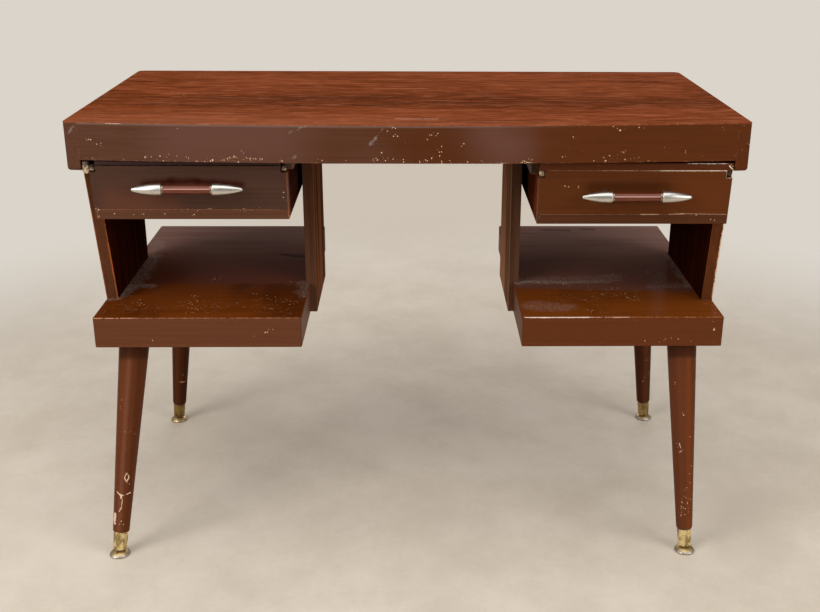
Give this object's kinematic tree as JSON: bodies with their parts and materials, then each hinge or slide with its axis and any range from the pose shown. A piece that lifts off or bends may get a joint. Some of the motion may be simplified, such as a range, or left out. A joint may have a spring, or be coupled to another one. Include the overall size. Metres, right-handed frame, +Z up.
{
  "type": "writing desk",
  "caption": "Small wooden writing desk with a bowed top, open kneehole, a hung drawer and shelf each side, and splayed tapered legs.",
  "frame": {"origin": "middle of the footprint on the floor, under the middle of the top", "axes": "+Z up, the front with its drawers faces -Y, +X to the right seen from the front"},
  "size_m": [1.053, 0.5564, 0.75],
  "materials": {
    "top_laminate": "satin wood-grain sheet, worn",
    "painted_wood": "dark brown paint, chipped at the edges",
    "painted_leg": "dark brown paint, scratched",
    "lacquered_rod": "glossy dark red-brown lacquer",
    "bare_wood": "unpainted softwood and plywood",
    "brass": "tarnished brass",
    "nickelled_steel": "worn nickel plate",
    "aluminium": "brushed",
    "steel": "bright zinc"
  },
  "bodies": {
    "desk": {"top_sheet": "top_laminate", "top_board": "bare_wood", "front_apron": "painted_wood", "back_apron": "painted_wood", "left_end_rail": "painted_wood", "right_end_rail": "painted_wood", "glue_blocks": "bare_wood", "left_outer_panel": "painted_wood", "left_inner_panel": "painted_wood", "left_shelf_top_skin": "painted_wood", "left_shelf_bottom_skin": "painted_wood", "left_shelf_frame": "painted_wood", "left_shelf_leg_blocks": "bare_wood", "left_outer_runner": "bare_wood", "left_inner_runner": "bare_wood", "right_outer_panel": "painted_wood", "right_inner_panel": "painted_wood", "right_shelf_top_skin": "painted_wood", "right_shelf_bottom_skin": "painted_wood", "right_shelf_frame": "painted_wood", "right_shelf_leg_blocks": "bare_wood", "right_outer_runner": "bare_wood", "right_inner_runner": "bare_wood", "front_left_leg": "painted_leg", "front_left_ferrule": "brass", "back_left_leg": "painted_leg", "back_left_ferrule": "brass", "front_right_leg": "painted_leg", "front_right_ferrule": "brass", "back_right_leg": "painted_leg", "back_right_ferrule": "brass", "leg_bolts": "steel", "glide_stems": "steel", "runner_screws": "steel"},
    "left_drawer": {"left_drawer_front": "painted_wood", "left_drawer_top_strip": "painted_wood", "left_drawer_bottom_strip": "painted_wood", "left_drawer_bottom": "bare_wood", "left_drawer_outer_side": "bare_wood", "left_drawer_inner_side": "bare_wood", "left_drawer_back": "bare_wood", "left_handle_rod": "lacquered_rod", "left_handle_outer_end": "aluminium", "left_handle_inner_end": "aluminium", "left_handle_screws": "steel"},
    "right_drawer": {"right_drawer_front": "painted_wood", "right_drawer_top_strip": "painted_wood", "right_drawer_bottom_strip": "painted_wood", "right_drawer_bottom": "bare_wood", "right_drawer_outer_side": "bare_wood", "right_drawer_inner_side": "bare_wood", "right_drawer_back": "bare_wood", "right_handle_rod": "lacquered_rod", "right_handle_outer_end": "aluminium", "right_handle_inner_end": "aluminium", "right_handle_screws": "steel"},
    "front_left_foot": {"front_left_glide": "nickelled_steel"},
    "back_left_foot": {"back_left_glide": "nickelled_steel"},
    "front_right_foot": {"front_right_glide": "nickelled_steel"},
    "back_right_foot": {"back_right_glide": "nickelled_steel"}
  },
  "joints": [
    {"name": "left_drawer_slide", "type": "slide", "parent": "desk", "child": "left_drawer", "axis": [0, -1, 0], "range_m": [0, 0.24]},
    {"name": "right_drawer_slide", "type": "slide", "parent": "desk", "child": "right_drawer", "axis": [0, -1, 0], "range_m": [0, 0.24]},
    {"name": "front_left_glide_tilt", "type": "hinge", "parent": "desk", "child": "front_left_foot", "pos_m": [-0.504, -0.261, 0.0065], "axis": [1, 0, 0], "range_deg": [-8, 8]},
    {"name": "back_left_glide_tilt", "type": "hinge", "parent": "desk", "child": "back_left_foot", "pos_m": [-0.504, 0.261, 0.0065], "axis": [1, 0, 0], "range_deg": [-8, 8]},
    {"name": "front_right_glide_tilt", "type": "hinge", "parent": "desk", "child": "front_right_foot", "pos_m": [0.479, -0.261, 0.0065], "axis": [1, 0, 0], "range_deg": [-8, 8]},
    {"name": "back_right_glide_tilt", "type": "hinge", "parent": "desk", "child": "back_right_foot", "pos_m": [0.509, 0.261, 0.0065], "axis": [1, 0, 0], "range_deg": [-8, 8]}
  ]
}
